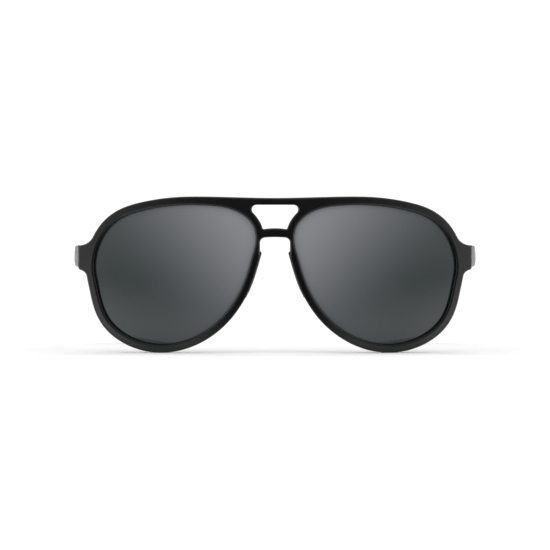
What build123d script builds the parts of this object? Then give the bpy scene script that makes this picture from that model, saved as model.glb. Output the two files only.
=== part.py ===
"""Full-rim plastic aviator sunglasses with a double bridge, standing open on a table.

Millimetres.  X runs across the face, Y runs back towards the ears, Z is up.  The glasses
stand on the bottoms of the rims and the tips of the temples, so Z = 0 is the table.
Everything is modelled for the wearer's +X side and mirrored to the other side.
"""

from build123d import *
from math import acos, asin, cos, radians, sin, sqrt, tan
import os

os.makedirs("parts", exist_ok=True)

# ---------------------------------------------------------------- lenses
lens_width = 61.0          # boxed size of the cut lens, across
lens_height = 51.5         # boxed size of the cut lens, up and down
lens_spacing = 73.8        # between the two lens centres
lens_radius = 133.0        # outer curve of the lens
lens_thickness = 1.8
lens_depth = 0.95          # lens crown below the front of the frame
lens_bite = 0.65           # how far the lens edge sits inside the rim
groove_gap = 0.05          # clearance between the lens and its groove

# Outline of the lens, as shares of its half width and half height, from the temple side
# over the brow to the nose and back under.
LENS_SHAPE = [
    (0.99, -0.04), (0.941, 0.454), (0.73, 0.764), (0.397, 0.92),
    (0.013, 0.99), (-0.459, 0.99), (-0.803, 0.88), (-0.99, 0.61),
    (-0.961, 0.27), (-0.851, -0.142), (-0.611, -0.586), (-0.292, -0.87),
    (0.102, -1), (0.528, -0.914), (0.828, -0.64),
]

# ---------------------------------------------------------------- front
front_radius = 165.0       # the front is moulded on a sphere of this radius
front_thickness = 4.4
rim_width = 3.05           # rim from the lens opening to its outer edge
edge_round_front = 0.8     # outer edge of the front, as polished
edge_round_back = 0.6
opening_round = 0.8        # front edge of the lens opening
opening_round_back = 0.4

brow_rise_mid = 27.7       # top of the brow bar above the lens centres, at the middle
brow_leaves = 0.30         # share of the lens outline where the bar leaves the rim
brow_bar_width = 2.5       # the bar at the middle, top to bottom
bridge_rise = 16.8         # top of the lower bridge above the lens centres
bridge_width = 3.2         # the lower bridge, top to bottom
bridge_arch = 0.35         # rise of both bridge edges at the middle
window_round_top = 1.7     # corners of the window between brow bar and bridge
window_round_bottom = 0.4
nose_notch = 5.4           # half width of the gap between the rims, under the bridge
nose_notch_round = 4.0     # where the sides of that gap run into the rims
nose_round = 1.9           # corners where the bridge meets the sides of that gap

end_piece_reach = 71.1     # from the middle to the outer end of an end piece
end_piece_height = 8.9
end_piece_rise = 6.0       # middle of the end piece above the lens centres
end_piece_corner = 1.2
flare_fill_top = 0.9904    # share of the end piece's edge that its round to the rim takes
flare_fill_bottom = 0.9429
end_piece_inner = 62.4     # inner wall of the end piece, at its back
end_piece_slope = 6.0      # how far that wall leans towards the nose
end_piece_skin = 1.6       # the end piece block starts this far behind the front
end_piece_back_round = 1.0

# ---------------------------------------------------------------- hinges
hinge_reach = 65.6         # hinge axis from the middle
hinge_back = 23.3          # hinge axis behind the frontmost point of the front
toe_in = 5.0               # the open temple leans in by this angle, degrees
barrel_radius = 1.35
knuckle_height = 1.3
knuckle_count = 5
knuckle_gap = 0.05         # between two knuckles
hinge_offset = 1.8         # hinge axis behind the joint between front and temple
leaf_thickness = 0.9
leaf_height = 5.0
leaf_length = 14.0
leaf_corner = 1.2
leaf_recess = 0.5          # depth of the leaf in the inner face of the temple
barrel_clearance = 0.15    # between the barrel and the leaf of the temple
flange_thickness = 1.0
flange_lip = 0.35          # flange beyond the barrel, towards the nose
anchor_length = 2.6
anchor_thickness = 2.0
anchor_height = 5.2
anchor_hole = 0.8          # radius of the keying hole in the anchor
screw_radius = 0.65
screw_running_gap = 0.03   # screw to the temple's knuckles
screw_seat_gap = 0.01      # screw to the front's knuckles
screw_head_radius = 1.0
screw_head_height = 0.7
screw_head_gap = 0.04
screw_slot_width = 0.35
screw_slot_depth = 0.35

# ---------------------------------------------------------------- temples
temple_rise = 6.4          # middle of the temple above the lens centres, at the hinge
temple_slope = 4.0         # fall of the temple towards the ear, degrees
temple_thickness = 4.0     # at the hinge
temple_thickness_ear = 3.2
temple_height = 7.7        # at the hinge
temple_height_mid = 5.6
temple_height_tip = 6.8
temple_front_length = 30.0  # stretch of constant height that carries the plate
temple_straight = 92.0     # from the hinge axis to the start of the ear bend
ear_bend_radius = 32.0
ear_bend_drop = 36.0       # turn of the ear bend, downwards, degrees
ear_bend_in = 9.0          # turn of the ear bend, inwards, degrees
end_gap = 0.05             # between the end piece and the open temple
temple_round = 0.8
wire_radius = 0.7
wire_gap = 0.02            # the moulding around the core wire
wire_start = 17.0          # behind the hinge axis
wire_stop = 7.0            # short of the end of the temple

# ---------------------------------------------------------------- metal trim
plate_length = 27.0
plate_thickness = 1.2
plate_recess = 0.4
plate_margin = 0.1         # temple above and below the plate
plate_bevel_side = 0.4     # bevel of the plate, measured through its thickness
plate_bevel_face = 0.7     # bevel of the plate, measured across its face
badge_radius = 2.6
badge_height = 0.8
badge_place = 5.8          # behind the hinge axis
badge_ring_outer = 1.65    # radii of the ring turned into the badge's face
badge_ring_inner = 1.3
badge_ring_depth = 0.2
badge_stem_radius = 0.8
badge_stem_length = 0.8
badge_gap = 0.02
rivet_places = (2.6, 10.8)  # behind the hinge axis
rivet_radius = 0.6
rivet_head_radius = 1.0
rivet_head_height = 0.35
rivet_gap = 0.02
rivet_end_depth = 0.5      # how far a rivet runs into the plate

# ---------------------------------------------------------------- nose pads
pad_top = 7.6              # above the lens centres
pad_bottom = -8.0
pad_width = 1.9
pad_depth = 6.0            # behind the back of the rim
pad_splay = 24.0           # lean of the pad away from the nose, degrees
pad_proud = 0.35           # pad beyond the rim, towards the nose
pad_round = 0.7
pad_wrap = 0.55            # how far the pad reaches forward round the rim's back edge
stem_inset = 0.4           # pad stem from the outer edge of the rim
stem_width = 0.9
stem_length = 5.0
stem_depth = 1.1           # how far the stem runs into the rim

# Stretches of the lens outline, as shares of its length from the temple side over the brow.
# In each of them the rim passes a height only once.
UPPER_TEMPLE_SIDE = (-0.02, 0.20)
LOWER_TEMPLE_SIDE = (-0.15, 0.10)
UPPER_NOSE_SIDE = (0.33, 0.47)
MIDDLE_NOSE_SIDE = (0.40, 0.55)
LOWER_NOSE_SIDE = (0.40, 0.65)
UNDER_THE_LENS = (0.50, 1.00)

LOOP_POINTS = 30           # points that carry an offset lens outline
HALVINGS = 40              # steps in the search for a height on the rim
SHARE_STEP = 0.001         # short stretch of the outline, to find its direction
TABLE_SAMPLES = 100        # places looked at to find the lowest point of the rim
PLACE_MATCH = 0.2          # how near an edge must lie to a corner to be that corner's edge
SPHERE_MATCH = 0.01        # how near an edge must lie to a sphere to be on it

# ---------------------------------------------------------------- worked out
wrap = asin(lens_spacing / 2 / front_radius)
datum = lens_height / 2 - lens_bite + rim_width       # height of the lens centres
reach_far = 3 * front_thickness + 60                  # longer than any cut through the front
end_low = datum + end_piece_rise - end_piece_height / 2
end_high = datum + end_piece_rise + end_piece_height / 2
bridge_top = datum + bridge_rise
bridge_low = bridge_top - bridge_width
bar_low = datum + brow_rise_mid - brow_bar_width
front_centre = (0, front_radius, datum)
lens_plane = Plane(
    origin=(lens_spacing / 2, front_radius * (1 - cos(wrap)), datum),
    x_dir=(cos(wrap), sin(wrap), 0),
    z_dir=(sin(wrap), -cos(wrap), 0),
)
hinge_plane = Plane(
    origin=(hinge_reach, hinge_back, datum + temple_rise),
    x_dir=(cos(radians(toe_in)), sin(radians(toe_in)), 0),
    z_dir=(0, 0, 1),
)
hinge_place = hinge_plane.location            # X outwards, Y along the open temple, Z up
temple_place = hinge_place * Rot(-temple_slope, 0, 0)
temple_inner = barrel_radius + barrel_clearance + leaf_thickness - leaf_recess
temple_outer = temple_inner + temple_thickness
temple_middle = temple_inner + temple_thickness / 2
barrel_top = knuckle_height * knuckle_count / 2
ear_in_radius = ear_bend_radius * sin(radians(ear_bend_drop)) / sin(radians(ear_bend_in))
lens_edge = Spline(
    [(across * lens_width / 2, up * lens_height / 2) for across, up in LENS_SHAPE],
    periodic=True,
)


def lens_point(share, offset):
    """A point on the lens outline, moved outwards by offset, in the lens plane."""
    point = lens_edge @ (share % 1)
    along = lens_edge % (share % 1)
    return Vector(point.X + offset * along.Y, point.Y - offset * along.X)


def lens_loop(offset):
    """The lens outline, moved outwards by offset, as a face in the lens plane."""
    loop = [lens_point(step / LOOP_POINTS, offset) for step in range(LOOP_POINTS)]
    return lens_plane * make_face(Spline(loop, periodic=True))


def sphere_shell(centre, outer, inner):
    """A hollow ball."""
    return Pos(*centre) * (Sphere(outer) - Sphere(inner))


def along_y(face, start, length):
    """A face in the front view, pushed back along Y."""
    return Pos(0, start, 0) * extrude(Plane.XZ * face, amount=length, dir=(0, 1, 0))


def both_sides(piece):
    """A piece and its mirror image across the middle of the face."""
    return [piece, mirror(piece, about=Plane.YZ)]


# ---------------------------------------------------------------- front frame
def front_point(share, offset):
    """A place on the front's surface, offset outwards from the lens outline, as (X, Z)."""
    point = lens_point(share, offset)
    fall = front_radius - sqrt(front_radius**2 - point.X**2 - point.Y**2)
    across = lens_spacing / 2 + point.X * cos(wrap) - fall * sin(wrap)
    return Vector(across, datum + point.Y)


def rim_point(share):
    """A place on the outer edge of the rim, in the front view (X, Z)."""
    return front_point(share, rim_width - lens_bite)


def rim_share(height, stretch):
    """Where the rim passes a height, on a stretch of its outline."""
    low, high = stretch
    for _ in range(HALVINGS):
        middle = (low + high) / 2
        if (rim_point(middle).Y - height) * (rim_point(low).Y - height) > 0:
            low = middle
        else:
            high = middle
    return (low + high) / 2


def rim_share_across(reach, stretch):
    """Where the rim passes a distance from the middle, on a stretch of its outline."""
    low, high = stretch
    for _ in range(HALVINGS):
        middle = (low + high) / 2
        if (rim_point(middle).X - reach) * (rim_point(low).X - reach) > 0:
            low = middle
        else:
            high = middle
    return (low + high) / 2


def rim_run(first, last, points):
    """Evenly spaced points along the outer edge of the rim."""
    return [rim_point(first + (last - first) * step / (points - 1)) for step in range(points)]


def rim_heading(share):
    """Direction of the rim's outer edge at a share, anticlockwise."""
    return (rim_point(share + SHARE_STEP) - rim_point(share - SHARE_STEP)).normalized()


# Shares of the outline where other edges of the front meet the rim.
high = rim_share(end_high, UPPER_TEMPLE_SIDE)
low = rim_share(end_low, LOWER_TEMPLE_SIDE)
bridge_end = rim_share(bridge_low - bridge_arch, LOWER_NOSE_SIDE)
nose = rim_share_across(nose_notch, (bridge_end, LOWER_NOSE_SIDE[1]))
window_high = rim_share(bar_low, UPPER_NOSE_SIDE)
window_low = rim_share(bridge_top - bridge_arch, MIDDLE_NOSE_SIDE)


def front_outline():
    """The front seen from ahead, with sharp corners and no openings."""
    top_middle = Vector(0, datum + brow_rise_mid)
    brow = Spline(
        [top_middle] + rim_run(brow_leaves, high, 9),
        tangents=[(1, 0), -rim_heading(high)],
    )
    end = Polyline(
        rim_point(high), (end_piece_reach, end_high), (end_piece_reach, end_low), rim_point(low)
    )
    under = Spline(
        rim_run(low + 1, nose, 18), tangents=[-rim_heading(low), -rim_heading(nose)]
    )
    notch = Line(rim_point(nose), (nose_notch, bridge_low - bridge_arch))
    bridge = ThreePointArc(
        (nose_notch, bridge_low - bridge_arch),
        (0, bridge_low),
        (-nose_notch, bridge_low - bridge_arch),
    )
    halves = [brow, end, under, notch]
    mirrored = [mirror(line, about=Plane.YZ) for line in halves]
    return make_face(halves + mirrored + [bridge])


def window_outline():
    """The opening between the brow bar and the lower bridge, with sharp corners."""
    side = Spline(rim_run(window_high, window_low, 5))
    top = Line((-rim_point(window_high).X, bar_low), (rim_point(window_high).X, bar_low))
    corner = rim_point(window_low)
    bottom = ThreePointArc(corner, (0, bridge_top), (-corner.X, corner.Y))
    return make_face([side, mirror(side, about=Plane.YZ), top, bottom])


def corners(solid, place):
    """Edges along Y that lie close to a place in the front view, on both sides."""
    found = []
    for edge in solid.edges().filter_by(Axis.Y):
        across = abs(abs(edge.center().X) - place.X)
        up = abs(edge.center().Z - place.Y)
        if across < PLACE_MATCH and up < PLACE_MATCH:
            found.append(edge)
    return found


def flare_round(share, way, fill):
    """Radius of the round between the rim and an end piece, from the edge that it has."""
    corner = acos((rim_heading(share) * way).X)
    return fill * (end_piece_reach - rim_point(share).X) * tan(corner / 2)


def front_prism():
    """The outline pushed back, with its corners rounded."""
    solid = along_y(front_outline(), -front_thickness, reach_far)
    solid = solid - along_y(window_outline(), -2 * front_thickness, 2 * reach_far)
    rounds = [
        (rim_point(high), flare_round(high, 1, flare_fill_top)),
        (rim_point(low), flare_round(low, -1, flare_fill_bottom)),
        (rim_point(nose), nose_notch_round),
        (Vector(nose_notch, bridge_low - bridge_arch), nose_round),
        (rim_point(window_high), window_round_top),
        (rim_point(window_low), window_round_bottom),
        (Vector(end_piece_reach, end_high), end_piece_corner),
        (Vector(end_piece_reach, end_low), end_piece_corner),
    ]
    for place, radius in rounds:
        solid = fillet(corners(solid, place), radius)
    return solid


def end_block():
    """The solid end piece behind the front's skin, up to the joint with the temple."""
    plan = Polyline(
        (end_piece_inner - end_piece_slope, 0),
        (end_piece_inner, hinge_back - hinge_offset),
        (end_piece_inner, reach_far),
        (end_piece_reach, reach_far),
        (end_piece_reach, 0),
        close=True,
    )
    block = extrude(make_face(plan), amount=2 * datum)
    block = block & (hinge_place * Pos(0, -hinge_offset - reach_far, 0) * Box(*[2 * reach_far] * 3))
    block = block & (Pos(*front_centre) * Sphere(front_radius - end_piece_skin))
    shape = Pos(end_piece_reach - reach_far / 2, datum + end_piece_rise) * Rectangle(
        reach_far, end_piece_height
    )
    shape = fillet(shape.vertices().group_by(Axis.X)[-1], end_piece_corner)
    block = block & along_y(shape, 0, reach_far)
    inner_back = block.edges().filter_by(Axis.Z).group_by(Axis.X)[0]
    return fillet(inner_back, end_piece_back_round)


def on_sphere(solid, radius):
    """Edges that lie on a sphere about the front's centre."""
    centre = Vector(*front_centre)
    found = []
    for edge in solid.edges():
        ends = [edge @ 0.0, edge @ 0.5, edge @ 1.0]
        if all(abs((place - centre).length - radius) < SPHERE_MATCH for place in ends):
            found.append(edge)
    return ShapeList(found)


def lens_solid(side_gap, face_gap):
    """A lens, or with gaps the space that its groove keeps for it."""
    centre = lens_plane.origin - lens_plane.z_dir * (lens_depth + lens_radius)
    outer = lens_radius + face_gap
    shell = sphere_shell(centre, outer, outer - lens_thickness - 2 * face_gap)
    return shell & extrude(lens_loop(side_gap), amount=reach_far / 4, both=True)


def knuckle_level(number):
    """Height of a knuckle's middle along the hinge axis."""
    return (number - (knuckle_count - 1) / 2) * knuckle_height


def knuckles(first):
    """Every second knuckle of the barrel."""
    height = knuckle_height - knuckle_gap
    rings = [
        Pos(0, 0, knuckle_level(number)) * Cylinder(barrel_radius, height)
        for number in range(first, knuckle_count, 2)
    ]
    return Part() + rings


def knuckle_webs(first, left, right, front, back):
    """Blocks that carry the same knuckles, between the given sides."""
    height = knuckle_height - knuckle_gap
    middle = Pos((left + right) / 2, (front + back) / 2, 0)
    webs = [
        middle * Pos(0, 0, knuckle_level(number)) * Box(right - left, back - front, height)
        for number in range(first, knuckle_count, 2)
    ]
    return Part() + webs


def front_leaf():
    """The front half of a hinge: three knuckles on a flange with an anchor."""
    leaf = knuckles(0) + knuckle_webs(0, -barrel_radius, barrel_clearance, -hinge_offset, 0)
    depth = flange_thickness
    flange_width = 2 * barrel_radius + flange_lip
    leaf += Pos(-flange_lip / 2, -hinge_offset - depth / 2, 0) * Box(
        flange_width, depth, knuckle_height * knuckle_count
    )
    anchor = Pos(0, -hinge_offset - depth - anchor_length / 2, 0) * Box(
        anchor_thickness, anchor_length, anchor_height
    )
    anchor -= Pos(0, -hinge_offset - depth - anchor_length / 2, 0) * Rot(0, 90, 0) * Cylinder(
        anchor_hole, 2 * anchor_thickness
    )
    leaf += anchor
    leaf -= Cylinder(screw_radius + screw_seat_gap, 2 * datum)
    head_seat = barrel_top - screw_head_height - screw_head_gap
    leaf -= Pos(0, 0, head_seat + knuckle_height) * Cylinder(
        screw_head_radius + screw_head_gap, 2 * knuckle_height
    )
    return leaf


def hinge_screw():
    """The screw that is the hinge's pin, with a slotted head."""
    length = 2 * barrel_top - screw_head_height - 2 * screw_head_gap
    top = barrel_top - screw_head_gap
    shaft = Pos(0, 0, top - screw_head_height - length / 2) * Cylinder(screw_radius, length)
    head = Pos(0, 0, top - screw_head_height / 2) * Cylinder(screw_head_radius, screw_head_height)
    slot = Pos(0, 0, top) * Box(3 * screw_head_radius, screw_slot_width, 2 * screw_slot_depth)
    return shaft + head - slot


def temple_leaf():
    """The rear half of a hinge: two knuckles on a plate let into the temple."""
    inner = barrel_radius + barrel_clearance
    leaf = knuckles(1) + knuckle_webs(
        1, 0, inner + leaf_recess / 2, -barrel_radius / 2, barrel_radius
    )
    leaf -= Cylinder(screw_radius + screw_running_gap, 2 * datum)
    return leaf + leaf_plate() - rivet_holes()


def leaf_plate():
    """The flat of the temple's leaf."""
    inner = barrel_radius + barrel_clearance
    plate = Pos(inner + leaf_thickness / 2, leaf_length / 2 - barrel_radius / 2, 0) * Box(
        leaf_thickness, leaf_length, leaf_height
    )
    plate = fillet(plate.edges().filter_by(Axis.X).group_by(Axis.Y)[-1], leaf_corner)
    return Rot(-temple_slope, 0, 0) * plate


def rivet_holes():
    """Clearance for the rivets, in the hinge's place."""
    drill = Rot(0, 90, 0) * Cylinder(rivet_radius + rivet_gap, 3 * temple_thickness)
    holes = [Pos(temple_middle, place, 0) * drill for place in rivet_places]
    return Rot(-temple_slope, 0, 0) * (Part() + holes)


def lens_tunnel():
    """The lens opening, on one side."""
    return extrude(lens_loop(-lens_bite), amount=reach_far / 4, both=True)


def front_blank():
    """The moulded front with its lens openings and grooves, before anything is let in."""
    back_radius = front_radius - front_thickness
    solid = front_prism() & sphere_shell(front_centre, front_radius, back_radius)
    solid = fillet(on_sphere(solid, front_radius), edge_round_front)
    solid = fillet(on_sphere(solid, back_radius), edge_round_back)
    for cut in both_sides(lens_tunnel()):
        solid = solid - cut
    for radius, rounding in ((front_radius, opening_round), (back_radius, opening_round_back)):
        loops = [edge for edge in on_sphere(solid, radius) if edge.is_closed]
        solid = fillet(loops, rounding)
    for block in both_sides(end_block() - lens_tunnel()):
        solid = solid + block
    for cut in both_sides(lens_solid(groove_gap, groove_gap)):
        solid = solid - cut
    return solid


# ---------------------------------------------------------------- nose pads
def pad_strip(outer, inner, top, bottom):
    """A rounded strip along the nose side of the rim, in the front view.

    Outer and inner are offsets from the lens outline, top and bottom are heights.
    """
    first = rim_share(top, LOWER_NOSE_SIDE)
    last = rim_share(bottom, LOWER_NOSE_SIDE)
    shares = [first + (last - first) * step / 6 for step in range(7)]
    nose_side = [front_point(share, outer) for share in shares]
    lens_side = [front_point(share, inner) for share in shares]
    edges = [Spline(nose_side), Spline(lens_side)]
    for end, away in ((0, -1), (-1, 1)):
        middle = (nose_side[end] + lens_side[end]) / 2
        crown = middle + rim_heading(shares[end]) * away * (outer - inner) / 2
        edges.append(ThreePointArc(nose_side[end], crown, lens_side[end]))
    return make_face(edges)


def pad_stem():
    """The tongue of a nose pad that sits in the back of the rim."""
    outer = rim_width - lens_bite - stem_inset
    middle = datum + (pad_top + pad_bottom) / 2
    face = pad_strip(
        outer, outer - stem_width, middle + stem_length / 2, middle - stem_length / 2
    )
    return along_y(face, front_thickness - stem_depth, 2 * stem_depth)


def nose_pad(blank):
    """A soft pad that leans away from the nose, fitted round the back of the rim."""
    outer = rim_width - lens_bite + pad_proud
    face = pad_strip(outer, outer - pad_width, datum + pad_top, datum + pad_bottom)
    lean = radians(pad_splay)
    body = Pos(0, front_thickness - pad_wrap, 0) * extrude(
        Plane.XZ * face,
        amount=(pad_depth + pad_wrap) / cos(lean),
        dir=(sin(lean), cos(lean), 0),
    )
    body = fillet(body.edges().group_by(Axis.Y)[-1], pad_round)
    behind = Pos(*front_centre) * Sphere(front_radius - front_thickness)
    body = body - blank - lens_solid(groove_gap, groove_gap) - (lens_tunnel() - behind)
    return body + pad_stem()


# ---------------------------------------------------------------- temples
def straight_end():
    """Where the straight run of the temple ends, along the temple (Y, Z)."""
    return Vector(temple_straight, 0)


def bend_point(turn):
    """A place on the middle line of the ear bend, after a turn in degrees."""
    angle = radians(turn)
    return straight_end() + Vector(
        ear_bend_radius * sin(angle), -ear_bend_radius * (1 - cos(angle))
    )


def tip_point():
    """The centre of the round end of the temple, which rests on the table."""
    down = radians(ear_bend_drop)
    slope = radians(temple_slope)
    start_share, stop_share = UNDER_THE_LENS
    step = (stop_share - start_share) / TABLE_SAMPLES
    table = min(rim_point(start_share + step * count).Y for count in range(TABLE_SAMPLES))
    start = bend_point(ear_bend_drop)
    level = datum + temple_rise - start.X * sin(slope) + start.Y * cos(slope)
    run = (level - table - temple_height_tip / 2) / sin(down + slope)
    return start + Vector(run * cos(down), -run * sin(down))


def beside(place, turn, offset):
    """A place moved square to the middle line, upwards if offset is positive."""
    angle = radians(turn)
    return place + Vector(offset * sin(angle), offset * cos(angle))


def temple_side():
    """The temple seen from the side, as a face with the joint end left long."""
    stations = [
        (Vector(temple_front_length, 0), 0, temple_height),
        (Vector((temple_front_length + temple_straight) / 2, 0), 0, temple_height_mid),
        (straight_end(), 0, temple_height_mid),
        (bend_point(ear_bend_drop / 2), ear_bend_drop / 2, temple_height_mid),
        (bend_point(ear_bend_drop), ear_bend_drop, (temple_height_mid + temple_height_tip) / 2),
        (tip_point(), ear_bend_drop, temple_height_tip),
    ]
    heading = (cos(radians(ear_bend_drop)), -sin(radians(ear_bend_drop)))
    edges = []
    ends = []
    for sign in (1, -1):
        start = Vector(-reach_far / 4, sign * temple_height / 2)
        places = [beside(place, turn, sign * height / 2) for place, turn, height in stations]
        edges.append(Line(start, places[0]))
        edges.append(Spline(places, tangents=[(1, 0), heading]))
        ends.append(places[-1])
    crown = tip_point() + Vector(*heading) * temple_height_tip / 2
    edges.append(ThreePointArc(ends[0], crown, ends[1]))
    edges.append(Line((-reach_far / 4, temple_height / 2), (-reach_far / 4, -temple_height / 2)))
    return make_face(edges)


def ear_lean(turn):
    """How far the middle line has moved inwards after part of the ear bend."""
    return ear_in_radius * (1 - cos(radians(turn)))


def temple_plan():
    """The temple seen from above, (X, Y), with both ends left long."""
    half = temple_thickness / 2
    half_ear = temple_thickness_ear / 2
    turned = radians(ear_bend_in)
    bent = bend_point(ear_bend_drop).X
    end = tip_point().X + temple_height_tip
    stations = [
        (Vector(temple_middle, temple_front_length), 0, half),
        (Vector(temple_middle, (temple_front_length + temple_straight) / 2), 0, half_ear),
        (Vector(temple_middle, temple_straight), 0, half_ear),
        (Vector(temple_middle - ear_lean(ear_bend_in), bent), ear_bend_in, half_ear),
        (
            Vector(temple_middle - ear_lean(ear_bend_in) - (end - bent) * tan(turned), end),
            ear_bend_in,
            half_ear,
        ),
    ]
    edges = []
    ends = []
    for sign in (1, -1):
        start = Vector(temple_middle + sign * half, -reach_far / 4)
        places = []
        for place, turn, width in stations:
            angle = radians(turn)
            places.append(place + Vector(sign * width * cos(angle), sign * width * sin(angle)))
        edges.append(Line(start, places[0]))
        edges.append(Spline(places, tangents=[(0, 1), (-sin(turned), cos(turned))]))
        ends.append((start, places[-1]))
    edges.append(Line(ends[0][0], ends[1][0]))
    edges.append(Line(ends[0][1], ends[1][1]))
    return make_face(edges)


def wire_path():
    """The middle line of the core wire: two straight runs and the arc between them."""
    turned = radians(ear_bend_in)
    down = radians(ear_bend_drop)
    corner_run = ear_bend_radius * tan(down / 2)
    corner = Vector(temple_middle, temple_straight + corner_run, 0)
    onward = Vector(-tan(turned) * cos(down), cos(down), -sin(down))
    onward = onward.normalized()
    run = (tip_point() - bend_point(ear_bend_drop)).length + corner_run - wire_stop
    return FilletPolyline(
        (temple_middle, wire_start, 0), corner, corner + onward * run, radius=ear_bend_radius
    )


def core_wire(radius):
    """The wire core, or with a larger radius the space moulded around it."""
    path = wire_path()
    return temple_place * sweep(Plane(path @ 0, z_dir=path % 0) * Circle(radius), path=path)


def temple_blank():
    """The temple's plastic before the metal parts are let in."""
    side = extrude(Plane.YZ * temple_side(), amount=2 * reach_far, both=True)
    plan = extrude(temple_plan(), amount=2 * reach_far, both=True)
    blank = side & plan
    long_edges = [edge for edge in blank.edges() if edge.bounding_box().max.Y > 0]
    return fillet(long_edges, temple_round)


def temple_arm():
    """One temple, with its joint face, recesses and holes."""
    arm = temple_blank()
    plate_space = Pos(temple_outer - plate_recess + reach_far / 2, 0, 0) * Box(
        reach_far, 2 * plate_length, reach_far
    )
    leaf_space = Rot(temple_slope, 0, 0) * leaf_plate()
    arm = arm - plate_space - leaf_space
    arm = Rot(-temple_slope, 0, 0) * arm - rivet_holes()
    arm = arm & (Pos(0, reach_far * 3 - hinge_offset + end_gap, 0) * Box(*[6 * reach_far] * 3))
    return hinge_place * arm - core_wire(wire_radius + wire_gap)


def shield_plate():
    """The metal plate on the outside of a temple, bevelled on three sides."""
    length = plate_length + hinge_offset
    plate = Pos(
        temple_outer - plate_recess + plate_thickness / 2, plate_length - length / 2, 0
    ) * Box(
        plate_thickness, length, temple_height - 2 * plate_margin
    )
    face = plate.faces().sort_by(Axis.X)[-1]
    rims = face.edges().filter_by(Axis.Y)
    plate = chamfer(rims, plate_bevel_face, plate_bevel_side, reference=face)
    face = plate.faces().sort_by(Axis.X)[-1]
    rear = face.edges().sort_by(Axis.Y)[-1]
    plate = chamfer([rear], plate_bevel_face, plate_bevel_side, reference=face)
    outside = temple_outer - plate_recess + plate_thickness
    plate -= Pos(outside, badge_place, 0) * Rot(0, 90, 0) * Cylinder(
        badge_stem_radius + badge_gap, 2 * (badge_stem_length + badge_gap)
    )
    for place in rivet_places:
        plate -= Pos(temple_outer - plate_recess, place, 0) * Rot(0, 90, 0) * Cylinder(
            rivet_radius + rivet_gap, 2 * (rivet_end_depth + rivet_gap)
        )
    plate = Rot(-temple_slope, 0, 0) * plate
    front_cut = Pos(0, reach_far - hinge_offset + end_gap, 0) * Box(*[2 * reach_far] * 3)
    return hinge_place * (plate & front_cut)


def plate_badge():
    """The round stud on the plate, with a plain turned ring in its face."""
    outside = temple_outer - plate_recess + plate_thickness
    disc = Pos(0, 0, badge_height / 2) * Cylinder(badge_radius, badge_height)
    disc = chamfer(disc.edges().group_by(Axis.Z)[-1], badge_height / 3)
    ring = Cylinder(badge_ring_outer, 2 * badge_ring_depth)
    ring -= Cylinder(badge_ring_inner, 2 * badge_ring_depth)
    disc -= Pos(0, 0, badge_height) * ring
    disc += Pos(0, 0, -badge_stem_length / 2) * Cylinder(badge_stem_radius, badge_stem_length)
    return temple_place * (Pos(outside, badge_place, 0) * Rot(0, 90, 0) * disc)


def rivet_pins():
    """The two rivets that hold leaf, temple and plate together."""
    inner = barrel_radius + barrel_clearance
    end = temple_outer - plate_recess + rivet_end_depth
    pins = []
    for place in rivet_places:
        shank = Pos((inner + end) / 2, place, 0) * Rot(0, 90, 0) * Cylinder(rivet_radius, end - inner)
        head = Pos(inner - rivet_head_height / 2, place, 0) * Rot(0, 90, 0) * Cylinder(
            rivet_head_radius, rivet_head_height
        )
        head = fillet(head.edges().group_by(Axis.X)[0], 0.8 * rivet_head_height)
        pins.append(temple_place * (shank + head))
    return Compound(children=pins)


# ---------------------------------------------------------------- assembly
def glasses():
    """Every piece in its place, by node name.  The +X side is the wearer's left."""
    blank = front_blank()
    leaf = hinge_place * front_leaf()
    stem = pad_stem()
    front = blank
    for pocket in both_sides(leaf) + both_sides(stem):
        front = front - pocket
    pairs = {
        "lens": lens_solid(0, 0),
        "nose_pad": nose_pad(blank),
        "front_hinge_leaf": leaf,
        "hinge_screw": hinge_place * hinge_screw(),
        "temple_hinge_leaf": hinge_place * temple_leaf(),
        "temple_arm": temple_arm(),
        "core_wire": core_wire(wire_radius),
        "shield_plate": shield_plate(),
        "plate_badge": plate_badge(),
        "rivet_pins": rivet_pins(),
    }
    pieces = {"front_frame": front}
    for name, piece in pairs.items():
        left, right = both_sides(piece)
        pieces[name + "_left"] = left
        pieces[name + "_right"] = right
    return pieces


def write(pieces):
    """Put the middle of the footprint at the origin and write one file per piece."""
    whole = Compound(children=[Compound(list(piece.solids())) for piece in pieces.values()])
    box = whole.bounding_box()
    place = Pos(-box.center().X, -box.center().Y, -box.min.Z)
    for name, piece in pieces.items():
        export_step(place * Compound(list(piece.solids())), f"parts/{name}.step")
    hinge = place * Pos(*hinge_plane.origin)
    print("size", [round(side, 2) for side in box.size])
    print("left hinge axis at", [round(side, 3) for side in hinge.position])


write(glasses())
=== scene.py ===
# %% [markdown]
# # Aviator sunglasses
# The frame, lenses, hinges and temples arrive as finished solids, already in place and in
# metres. This lesson gives them their finishes, shapes the two soft nose pads as meshes, and
# sets up a small white studio. The other solids are neither moved nor reshaped.

# %% Load the glasses
import math

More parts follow.
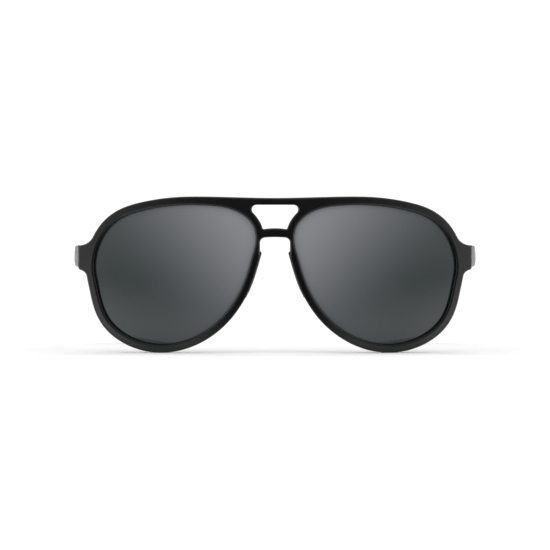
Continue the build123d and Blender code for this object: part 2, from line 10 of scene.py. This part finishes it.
import bpy
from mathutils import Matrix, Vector


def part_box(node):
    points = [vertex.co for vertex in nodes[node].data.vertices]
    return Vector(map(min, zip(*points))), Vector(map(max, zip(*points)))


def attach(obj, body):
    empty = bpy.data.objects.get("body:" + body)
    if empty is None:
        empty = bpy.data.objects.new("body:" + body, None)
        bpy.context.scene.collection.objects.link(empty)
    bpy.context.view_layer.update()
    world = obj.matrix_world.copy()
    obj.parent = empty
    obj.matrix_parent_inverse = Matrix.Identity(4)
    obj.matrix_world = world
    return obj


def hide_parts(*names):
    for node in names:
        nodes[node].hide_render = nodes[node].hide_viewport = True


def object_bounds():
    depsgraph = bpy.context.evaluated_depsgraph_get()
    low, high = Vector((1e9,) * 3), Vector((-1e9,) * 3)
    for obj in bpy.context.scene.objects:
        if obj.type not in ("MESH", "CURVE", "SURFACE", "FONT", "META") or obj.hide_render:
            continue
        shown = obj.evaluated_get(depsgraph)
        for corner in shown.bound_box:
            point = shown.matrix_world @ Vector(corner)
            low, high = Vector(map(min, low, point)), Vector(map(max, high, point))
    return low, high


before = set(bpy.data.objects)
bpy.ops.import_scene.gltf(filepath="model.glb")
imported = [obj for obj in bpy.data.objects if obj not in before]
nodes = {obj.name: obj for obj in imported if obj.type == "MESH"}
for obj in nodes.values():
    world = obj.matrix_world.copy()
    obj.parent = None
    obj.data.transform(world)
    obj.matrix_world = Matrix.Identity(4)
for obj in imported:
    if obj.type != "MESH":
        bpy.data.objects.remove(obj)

solid_box = [list(corner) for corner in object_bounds()]
print(len(nodes), "solids,", [round(high - low, 4) for low, high in zip(*solid_box)], "m")

# %% [markdown]
# ## Writing materials as expressions
# A material is a graph of nodes, and long graphs are hard to read as calls. The two classes
# here let a graph be written as ordinary arithmetic: a `Wire` is the output of a node, and
# adding or multiplying two wires adds the Math node that does it. A `Finish` is one material:
# its `node` method makes any other node, sets it up, and plugs in its inputs.

# %% Wires and finishes
class Wire:
    """One output in a material's graph. Arithmetic on it adds Math nodes."""

    def __init__(self, finish, socket):
        self.finish = finish
        self.socket = socket

    def math(self, operation, *values):
        inputs = dict(enumerate(values))
        return self.finish.node("ShaderNodeMath", {"operation": operation}, inputs)

    def __add__(self, other):
        return self.math("ADD", self, other)

    def __radd__(self, other):
        return self.math("ADD", other, self)

    def __sub__(self, other):
        return self.math("SUBTRACT", self, other)

    def __rsub__(self, other):
        return self.math("SUBTRACT", other, self)

    def __mul__(self, other):
        return self.math("MULTIPLY", self, other)

    def __rmul__(self, other):
        return self.math("MULTIPLY", other, self)

    def __truediv__(self, other):
        return self.math("DIVIDE", self, other)

    def __rtruediv__(self, other):
        return self.math("DIVIDE", other, self)

    def __pow__(self, other):
        return self.math("POWER", self, other)

    def smooth(self, low, high):
        """0 below low, 1 above high, and an even curve between."""
        settings = {"interpolation_type": "SMOOTHSTEP"}
        inputs = {"Value": self, "From Min": low, "From Max": high}
        return self.finish.node("ShaderNodeMapRange", settings, inputs)

    def spread(self, low, high):
        """A value from 0 to 1, laid out between low and high."""
        inputs = {"Value": self, "To Min": low, "To Max": high}
        return self.finish.node("ShaderNodeMapRange", {}, inputs)


class Finish:
    """One material, with helpers that add nodes to its graph."""

    def __init__(self, name):
        self.material = bpy.data.materials.new(name)
        self.material.use_nodes = True
        self.tree = self.material.node_tree
        self.shader = self.tree.nodes["Principled BSDF"]

    def plug(self, socket, value):
        if isinstance(value, Wire):
            self.tree.links.new(value.socket, socket)
        else:
            socket.default_value = value

    def node(self, kind, settings=None, inputs=None, output=0):
        made = self.tree.nodes.new(kind)
        for name, value in (settings or {}).items():
            setattr(made, name, value)
        for name, value in (inputs or {}).items():
            self.plug(made.inputs[name], value)
        return Wire(self, made.outputs[output])

    def surface(self, **sockets):
        """Values or wires for the shader's own sockets, with _ for a space."""
        for name, value in sockets.items():
            self.plug(self.shader.inputs[name.replace("_", " ")], value)

    def place(self):
        """Where a point is on the piece, in metres, at rest."""
        return self.node("ShaderNodeTexCoord", output="Object")

    def axes(self, place):
        """The X, Y and Z of a place, as three wires."""
        split = self.node("ShaderNodeSeparateXYZ", {}, {0: place}).socket.node
        return [Wire(self, output) for output in split.outputs]

    def stretch(self, place, scale):
        """The same place, scaled along each axis, so that a grain can run one way."""
        return self.node("ShaderNodeMapping", {}, {"Vector": place, "Scale": scale})

    def noise(self, place, scale, detail, rough):
        """Clouds from 0 to 1, with scale of them to the metre."""
        inputs = {"Vector": place, "Scale": scale, "Detail": detail, "Roughness": rough}
        return self.node("ShaderNodeTexNoise", {}, inputs)

    def bump(self, height, depth, under=None):
        """Small relief: height from 0 to 1 becomes depth in metres."""
        inputs = {"Height": height, "Distance": depth, "Strength": 1.0}
        if under is not None:
            inputs["Normal"] = under
        return self.node("ShaderNodeBump", {}, inputs)

    def blend(self, share, first, second):
        """A colour between first and second."""
        settings = {"data_type": "RGBA"}
        made = self.node("ShaderNodeMix", settings, {0: share, 6: first, 7: second}).socket.node
        return Wire(self, made.outputs[2])


def coat(names, finish):
    """Give solids one finish."""
    for name in names:
        mesh = nodes[name].data
        mesh.materials.clear()
        mesh.materials.append(finish.material)


def grey(level, warm=0.0):
    """A near-neutral colour from one linear level."""
    return (level * (1 + warm), level, level * (1 - warm), 1.0)


print("a Wire does sums, a Finish adds nodes")

# %% [markdown]
# ## Satin black plastic
# The front and the temples are made as moulded black plastic with a satin skin. Its grain is
# about a tenth of a millimetre across. That could be sculpted, but it would cost a very large
# number of faces, so two Bump nodes make it: fine grain over larger pores. Still larger
# clouds vary the roughness and the shade, because a perfectly even surface looks drawn. All
# of them follow the piece's own place in metres.

# %% Plastic
FLOW_LINES = (1.0, 0.25, 1.0)
BLACK = 0.0022                # how much light the black plastic gives back
PLASTIC_ROUGHNESS = 0.30
GRAIN_RELIEF = 0.0000045      # metres
PORE_RELIEF = 0.000005


def moulded_plastic(name):
    finish = Finish(name)
    place = finish.place()
    grain = finish.noise(place, scale=7500.0, detail=2.0, rough=0.6)
    pores = finish.noise(place, scale=2100.0, detail=2.0, rough=0.5)
    cloud = finish.noise(place, scale=160.0, detail=3.0, rough=0.5)
    along = finish.stretch(place, FLOW_LINES)
    flow = finish.noise(along, scale=420.0, detail=2.0, rough=0.5)
    shade = (cloud * 0.5 + flow * 0.5).smooth(0.32, 0.68)
    finish.surface(
        Base_Color=finish.blend(shade, grey(BLACK * 0.85), grey(BLACK * 1.2, -0.03)),
        Roughness=(cloud * 0.10 + grain * 0.06 + (PLASTIC_ROUGHNESS - 0.08)),
        Normal=finish.bump(grain, GRAIN_RELIEF, finish.bump(pores, PORE_RELIEF)),
        Specular_IOR_Level=0.5,
        IOR=1.47,
    )
    return finish


temple_arms = ["temple_arm_left", "temple_arm_right"]
coat(["front_frame"], moulded_plastic("satin_black_front"))
coat(temple_arms, moulded_plastic("satin_black_temple"))
print("plastic on", 1 + len(temple_arms), "solids")

# %% [markdown]
# ## Tinted lenses
# From outside the lenses read as dark glass with a grey-green body, lighter towards the nose
# and the brow. A real lens lets some light through, and it could be made with a glass shader
# and a coloured volume. Here it is opaque: a polished surface over a painted colour, the
# grey-green tint with painted light in it, which stands in for the light that would come
# through. So nothing behind a lens is seen through it. The painted light grows along a
# diagonal of each lens's own box, towards the nose and the brow, mirrored between the two.

# %% Lenses
OUTER_TINT = (0.009, 0.0165, 0.0165, 1)
# painted light: the pale colour at the nose and brow end stands in for light coming through the
# lens
NOSE_TINT_AND_PAINTED_LIGHT = (0.285, 0.292, 0.312, 1)
NOSE_PULL = 0.62              # how far the slope follows the way to the nose
BROW_PULL = 0.38              # and the way to the brow
LENS_RELIEF = 0.000004        # metres


def tinted_lens_with_painted_light(name, side):
    """Tint and painted light of one lens. Side is 1 for the wearer's left, -1 for the right."""
    finish = Finish(name)
    low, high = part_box("lens_left" if side > 0 else "lens_right")
    centre = (low + high) / 2
    half = (high - low) / 2
    place = finish.place()
    across, _, up = finish.axes(place)
    to_nose = (across - centre.x) * (-side / half.x)
    to_brow = (up - centre.z) * (1 / half.z)
    # painted light: the colour runs from the dark tint to a pale one towards the nose and the
    # brow
    painted_light_slope = (to_nose * NOSE_PULL + to_brow * BROW_PULL).smooth(-0.6, 1.35)
    haze = finish.noise(place, scale=55.0, detail=2.0, rough=0.4)
    waves = finish.noise(place, scale=26.0, detail=1.0, rough=0.3)
    finish.surface(
        Base_Color=finish.blend(painted_light_slope, OUTER_TINT, NOSE_TINT_AND_PAINTED_LIGHT),
        Roughness=haze.spread(0.035, 0.065),
        IOR=1.53,
        Specular_IOR_Level=0.5,
        Normal=finish.bump(waves, LENS_RELIEF),
    )
    print(name, "over", round(half.x * 2000, 1), "by", round(half.z * 2000, 1), "mm")
    return finish


coat(["lens_left"], tinted_lens_with_painted_light("tint_and_painted_light_left", 1))
coat(["lens_right"], tinted_lens_with_painted_light("tint_and_painted_light_right", -1))

# %% [markdown]
# ## Brushed side plates
# The plates on the temples are made as metal brushed along its length. One noise, stretched
# along Y into long thin lines, sets both the relief and the roughness. A long highlight could
# also come from anisotropy, but lines can be seen close up. Real metal is fully metallic.
# These plates are set to 0.6 for the look, because some body colour keeps them pale where
# they face something dark.

# %% Brushed plates
PLATE_LEVEL = 0.66
PLATE_ROUGHNESS = 0.38
BRUSHED_LINES = (1.0, 0.02, 1.0)
BRUSHED_RELIEF = 0.000004     # metres


def brushed_metal(name):
    finish = Finish(name)
    place = finish.place()
    along = finish.stretch(place, BRUSHED_LINES)
    lines = finish.noise(along, scale=9000.0, detail=3.0, rough=0.6)
    patches = finish.noise(place, scale=300.0, detail=3.0, rough=0.5)
    worn = grey(PLATE_LEVEL * 0.9, 0.02)
    finish.surface(
        Base_Color=finish.blend(patches.smooth(0.3, 0.7), worn, grey(PLATE_LEVEL, 0.03)),
        Metallic=0.6,
        Roughness=lines * 0.16 + patches * 0.08 + (PLATE_ROUGHNESS - 0.1),
        Normal=finish.bump(lines, BRUSHED_RELIEF),
    )
    return finish


plates = ["shield_plate_left", "shield_plate_right"]
coat(plates, brushed_metal("brushed_plate"))
print("brushed", plates)

# %% [markdown]
# ## Turned studs and screws
# A stud or a screw head is often faced on a lathe, which leaves fine rings round its axis.
# The rings are a sine of the distance from the middle of the piece. That middle comes from
# the piece's box, so each one needs a material of its own. A picture of rings would be
# simpler to share, but it would need a mapping on every face.

# %% Turned studs and screws
STUD_PITCH = 0.00022          # metres from ring to ring
SCREW_PITCH = 0.00016
TURNED_RELIEF = 0.000005


def turned_metal(name, node, axis, level, rough, pitch):
    """Rings round the middle of a node, about the X or Z axis, a pitch apart."""
    finish = Finish(name)
    low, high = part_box(node)
    centre = (low + high) / 2
    place = finish.place()
    x, y, z = finish.axes(place)
    if axis == "X":
        first, second = y - centre.y, z - centre.z
    else:
        first, second = x - centre.x, y - centre.y
    reach = (first * first + second * second) ** 0.5
    turns = reach * (2 * math.pi / pitch)
    rings = finish.node("ShaderNodeMath", {"operation": "SINE"}, {0: turns})
    marks = finish.noise(place, scale=2500.0, detail=3.0, rough=0.6)
    finish.surface(
        Base_Color=finish.blend(marks.smooth(0.3, 0.75), grey(level * 0.86), grey(level, 0.01)),
        Metallic=0.8,
        Roughness=marks * 0.12 + (rough - 0.06),
        Normal=finish.bump(rings * 0.5 + marks * 0.5, TURNED_RELIEF),
    )
    return finish


for side in ("left", "right"):
    badge = "plate_badge_" + side
    screw = "hinge_screw_" + side
    stud_metal = turned_metal(
        "turned_badge_" + side, badge, "X", level=0.60, rough=0.22, pitch=STUD_PITCH
    )
    screw_metal = turned_metal(
        "turned_screw_" + side, screw, "Z", level=0.52, rough=0.26, pitch=SCREW_PITCH
    )
    coat([badge], stud_metal)
    coat([screw], screw_metal)
    print("turned", badge, screw)

# %% [markdown]
# ## Tumbled hinges, rivets and wire cores
# Small stamped parts are often tumbled in a drum of stones, which leaves soft pits that run
# no particular way. One function makes all three metals here, because they differ only in
# how bright and how rough they are. The wire cores lie inside the temples and are not seen,
# but they have a finish of their own for when the parts are taken apart.

# %% Tumbled hinges, rivets and wire cores
PIT_RELIEF = 0.000007         # metres


def tumbled_metal(name, level, rough):
    finish = Finish(name)
    place = finish.place()
    pits = finish.noise(place, scale=1800.0, detail=4.0, rough=0.6)
    stain = finish.noise(place, scale=420.0, detail=3.0, rough=0.5)
    dull = grey(level * 0.78, 0.01)
    finish.surface(
        Base_Color=finish.blend(stain.smooth(0.35, 0.7), dull, grey(level, 0.01)),
        Metallic=1.0,
        Roughness=pits * 0.14 + stain * 0.08 + (rough - 0.1),
        Normal=finish.bump(pits, PIT_RELIEF),
    )
    return finish


hinge_metal = tumbled_metal("tumbled_hinge", level=0.50, rough=0.36)
rivet_metal = tumbled_metal("polished_rivet", level=0.62, rough=0.24)
wire_metal = tumbled_metal("drawn_wire", level=0.48, rough=0.40)
for side in ("left", "right"):
    leaves = ["front_hinge_leaf_" + side, "temple_hinge_leaf_" + side]
    coat(leaves, hinge_metal)
    coat(["rivet_pins_" + side], rivet_metal)
    coat(["core_wire_" + side], wire_metal)
    print("tumbled", leaves)

# %% [markdown]
# ## Silicone for the nose pads
# The pads are soft black silicone. It is duller than the front and very slightly cloudy, and
# a little sheen stands for the bloom that rubber gathers. A skin of fine relief keeps it from
# looking wet.

# %% Pad finish
SKIN_RELIEF = 0.000006        # metres


def silicone(name):
    finish = Finish(name)
    place = finish.place()
    bloom = finish.noise(place, scale=700.0, detail=3.0, rough=0.6)
    skin = finish.noise(place, scale=5200.0, detail=2.0, rough=0.5)
    finish.surface(
        Base_Color=finish.blend(bloom.smooth(0.35, 0.7), grey(0.012), grey(0.020)),
        Roughness=bloom.spread(0.48, 0.62),
        Normal=finish.bump(skin, SKIN_RELIEF),
        Sheen_Weight=0.15,
        Sheen_Roughness=0.4,
    )
    return finish


pad_finish = silicone("pad_silicone")
print(pad_finish.material.name)

# %% [markdown]
# ## The shape of the nose pads
# A soft pad has no sharp edge. Its edges could be picked and bevelled one by one. Here each
# pad is a mesh of its own instead, with no edges to pick: a Remesh modifier turns the plain
# solid into an even grid of small faces, and a Smooth modifier pulls every point towards its
# neighbours, which rounds all the edges.

# %% Pad shapes
PAD_GRID = 0.00022            # metres
PAD_RELAX = 14                # times that the points are pulled together


def soft_pad(side):
    solid = nodes["nose_pad_" + side]
    pad = bpy.data.objects.new("soft_nose_pad_" + side, solid.data.copy())
    bpy.context.scene.collection.objects.link(pad)
    remesh = pad.modifiers.new("even_grid", "REMESH")
    remesh.mode = "VOXEL"
    remesh.voxel_size = PAD_GRID
    relax = pad.modifiers.new("relax", "SMOOTH")
    relax.factor = 0.5
    relax.iterations = PAD_RELAX
    graph = bpy.context.evaluated_depsgraph_get()
    mesh = bpy.data.meshes.new_from_object(pad.evaluated_get(graph))
    pad.modifiers.clear()
    pad.data = mesh
    mesh.materials.clear()
    mesh.materials.append(pad_finish.material)
    mesh.shade_smooth()
    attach(pad, "front")
    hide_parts("nose_pad_" + side)
    print(pad.name, len(mesh.polygons), "faces")


for side in ("left", "right"):
    soft_pad(side)

# %% [markdown]
# ## Floor and room
# Black plastic and dark glass show little but what they reflect, so most of the work in this
# studio is in what surrounds the glasses. The room is an even white and the floor is a pale
# sheet, and away from the glasses both are brighter than a screen can show, so they run
# together. Area lights could do this too, but they would show as hard shapes in the lenses.

# %% Floor and room
scene = bpy.context.scene
scene.view_settings.view_transform = "Standard"
lens_low, lens_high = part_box("lens_left")
eye_level = (lens_low.z + lens_high.z) / 2
front_y = solid_box[0][1]
middle = Vector((0.0, front_y, eye_level))
ROOM_BRIGHTNESS = 1.2
FLOOR_REACH = 12.0


def pale_floor():
    square = ((-1, -1), (1, -1), (1, 1), (-1, 1))
    corners = [(x * FLOOR_REACH, y * FLOOR_REACH, 0.0) for x, y in square]
    mesh = bpy.data.meshes.new("floor")
    mesh.from_pydata(corners, [], [(0, 1, 2, 3)])
    floor = bpy.data.objects.new("floor", mesh)
    scene.collection.objects.link(floor)
    finish = Finish("pale_floor")
    speckle = finish.noise(finish.place(), scale=900.0, detail=2.0, rough=0.5)
    finish.surface(
        Base_Color=finish.blend(speckle, grey(0.88), grey(0.92)),
        Roughness=0.8,
        Specular_IOR_Level=0.0,
    )
    mesh.materials.append(finish.material)


pale_floor()
world = bpy.data.worlds.new("white_room")
scene.world = world
world.use_nodes = True
background = world.node_tree.nodes["Background"]
background.inputs["Color"].default_value = (1, 1, 1, 1)
background.inputs["Strength"].default_value = ROOM_BRIGHTNESS
print("floor", 2 * FLOOR_REACH, "m wide")

# %% [markdown]
# ## The curved card
# The faces that look straight ahead should be black, and the faces that turn outwards grey.
# A photographer hangs black cloth in front and white boards at the sides. Several cards would
# show their edges in the lenses, so here one curved card does it: the front half of a ball
# round the glasses, laid flat on the floor where it would dip below it. Only gloss sees it.
# Its glow is a sum: bright wings at the sides, a pool of light overhead and one underneath.

# %% The curved card
CARD_AWAY = 0.9               # metres
CARD_ABOVE_FLOOR = 0.0005
CARD_STEPS = 48
CARD_SIDE = math.radians(90)
CARD_LOW = math.radians(-72)
CARD_HIGH = math.radians(75)
WING_GLOW = 1.9
WING_FALL = 1.6
AHEAD_GLOW = 0.02
OVERHEAD_GLOW = 0.6
UNDER_GLOW = 0.25


def card_mesh():
    """The front of a ball round the glasses, from low to high."""
    points = []
    for row in range(CARD_STEPS + 1):
        rise = CARD_LOW + (CARD_HIGH - CARD_LOW) * row / CARD_STEPS
        for column in range(CARD_STEPS + 1):
            turn = CARD_SIDE * (2 * column / CARD_STEPS - 1)
            level = math.cos(rise)
            heading = Vector((math.sin(turn) * level, -math.cos(turn) * level, math.sin(rise)))
            reach = CARD_AWAY
            if rise < 0:
                reach = min(reach, (eye_level - CARD_ABOVE_FLOOR) / -math.sin(rise))
            points.append(middle + heading * reach)
    faces = []
    for row in range(CARD_STEPS):
        for column in range(CARD_STEPS):
            first = row * (CARD_STEPS + 1) + column
            faces.append((first, first + 1, first + CARD_STEPS + 2, first + CARD_STEPS + 1))
    mesh = bpy.data.meshes.new("curved_card")
    mesh.from_pydata(points, [], faces)
    return mesh


def curved_card():
    mesh = card_mesh()
    card = bpy.data.objects.new("curved_card", mesh)
    scene.collection.objects.link(card)
    card.visible_camera = False
    card.visible_diffuse = False
    card.visible_transmission = False
    card.visible_shadow = False
    finish = Finish("card_glow")
    vector = "ShaderNodeVectorMath"
    away = finish.node(vector, {"operation": "SUBTRACT"}, {0: finish.place(), 1: middle})
    heading = finish.node(vector, {"operation": "NORMALIZE"}, {0: away})
    side, _, rise = finish.axes(heading)

    def pool(up, wide, tall):
        """1 at one height straight ahead, above or below, falling away round it."""
        right = side / wide
        over = (rise - up) / tall
        return 1 / (1 + (right * right + over * over) ** 1.5)

    wings = (side * side) ** WING_FALL * WING_GLOW
    overhead = OVERHEAD_GLOW * pool(up=0.75, wide=0.5, tall=0.2)
    under = UNDER_GLOW * pool(up=-1.0, wide=1.2, tall=0.25)
    glow = wings + AHEAD_GLOW + overhead + under
    light = finish.node("ShaderNodeEmission", {}, {"Color": (1, 1, 1, 1), "Strength": glow})
    ends = [made for made in finish.tree.nodes if made.type == "OUTPUT_MATERIAL"]
    finish.tree.links.new(light.socket, ends[0].inputs["Surface"])
    finish.tree.nodes.remove(finish.shader)
    mesh.materials.append(finish.material)


curved_card()
print("card", CARD_STEPS, "by", CARD_STEPS, "faces")

# %% [markdown]
# ## The camera
# The glasses are seen square on, from a touch above the middle of the lenses, so that the
# tips of the temples stay hidden behind the rims. A camera far away with a long focal length
# keeps the view nearly parallel. The distance and the width of the picture at the front of
# the glasses set that focal length.

# %% Camera
PICTURE_WIDTH = 0.198         # metres across the picture, at the glasses
CAMERA_AWAY = 4.0
CAMERA_RISE = math.radians(1.0)
optics = bpy.data.cameras.new("camera")
camera = bpy.data.objects.new("camera", optics)
scene.collection.objects.link(camera)
optics.lens = optics.sensor_width * CAMERA_AWAY / PICTURE_WIDTH
optics.clip_start = 0.05
toward = Vector((0.0, -math.cos(CAMERA_RISE), math.sin(CAMERA_RISE)))
camera.location = middle + toward * CAMERA_AWAY
camera.rotation_euler = (math.pi / 2 - CAMERA_RISE, 0.0, 0.0)
scene.camera = camera
print("focal length", round(optics.lens), "mm")
